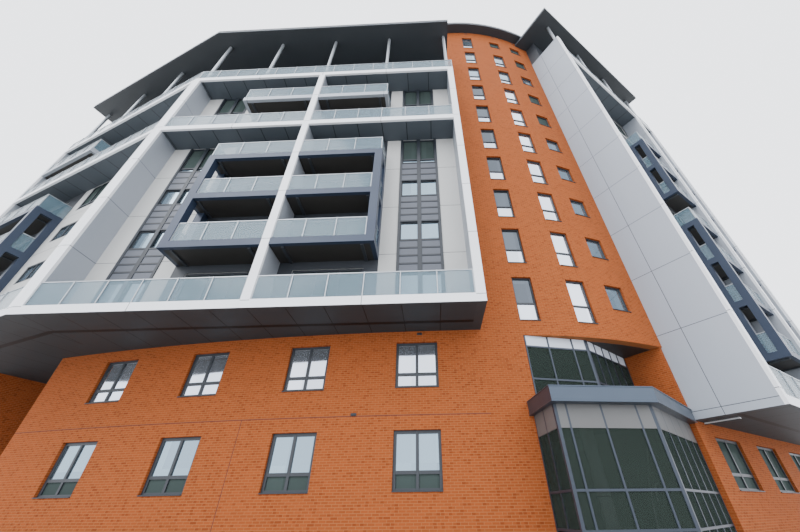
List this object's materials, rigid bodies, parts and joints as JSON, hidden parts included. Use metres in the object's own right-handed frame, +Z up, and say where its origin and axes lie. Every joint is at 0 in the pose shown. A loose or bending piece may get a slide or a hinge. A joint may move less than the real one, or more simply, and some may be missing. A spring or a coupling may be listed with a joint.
{
  "type": "apartment block",
  "caption": "Apartment block with a curved brick base and tower, framed balcony fronts, set-back top storeys with flat roofs and a glazed entrance bay.",
  "frame": {"origin": "on the ground under the middle of the main block, midway along its front and midway between its front and rear", "axes": "+X to the right along the main front seen from outside, +Y into the building, +Z up; the main front faces -Y"},
  "size_m": [25.5721, 10.8874, 18.45],
  "materials": {
    "orange_brick": "matt brickwork",
    "silver_panel": "satin panels",
    "white_frame": "satin white",
    "cream_panel": "matt panels",
    "beige_panel": "satin panels",
    "dark_soffit": "matt dark",
    "dark_cladding": "satin dark",
    "dark_frame": "satin dark grey",
    "dark_roof": "matt dark grey",
    "blue_steel": "satin blue-grey",
    "frosted_glass": "frosted",
    "clear_glass": "clear",
    "rail_metal": "satin metal",
    "grey_concrete": "matt concrete"
  },
  "bodies": {
    "root": {"balcony_beams": "blue_steel", "balcony_decks": "dark_soffit", "balcony_frame_posts": "blue_steel", "balcony_glass": "frosted_glass", "balcony_handrails": "rail_metal", "balcony_rail_posts": "rail_metal", "balcony_silver_edges": "silver_panel", "base_cross_walls": "orange_brick", "base_end_walls": "orange_brick", "base_panels": "orange_brick", "base_piers": "orange_brick", "cross_walls": "grey_concrete", "end_walls": "silver_panel", "entrance_canopy": "blue_steel", "frame_beams": "white_frame", "frame_decks": "dark_soffit", "frame_side_walls": "silver_panel", "frame_strips": "white_frame", "left_floors": "grey_concrete", "left_roof": "dark_roof", "lobby_column": "white_frame", "lobby_floor": "grey_concrete", "main_floors": "grey_concrete", "main_roof": "dark_roof", "penthouse_ends": "dark_cladding", "penthouse_panels": "dark_cladding", "penthouse_piers": "dark_cladding", "rear_base_panels": "orange_brick", "rear_base_piers": "orange_brick", "rear_wall_panels": "cream_panel", "rear_wall_piers": "cream_panel", "recess_floor": "grey_concrete", "recess_return": "orange_brick", "recess_soffit": "dark_soffit", "recess_wall_panels": "cream_panel", "recess_wall_piers": "cream_panel", "right_fin": "silver_panel", "right_floors": "grey_concrete", "right_roof": "dark_roof", "screen_glass": "clear_glass", "screen_posts": "dark_frame", "screen_rails": "dark_frame", "screen_spandrels": "beige_panel", "terrace_columns": "rail_metal", "terrace_glass": "frosted_glass", "terrace_handrails": "rail_metal", "terrace_rail_posts": "rail_metal", "tower_floors": "grey_concrete", "tower_panels": "orange_brick", "tower_piers": "orange_brick", "tower_rear_wall": "orange_brick", "tower_roof": "dark_roof", "tower_side_walls": "orange_brick"}
  },
  "joints": []
}
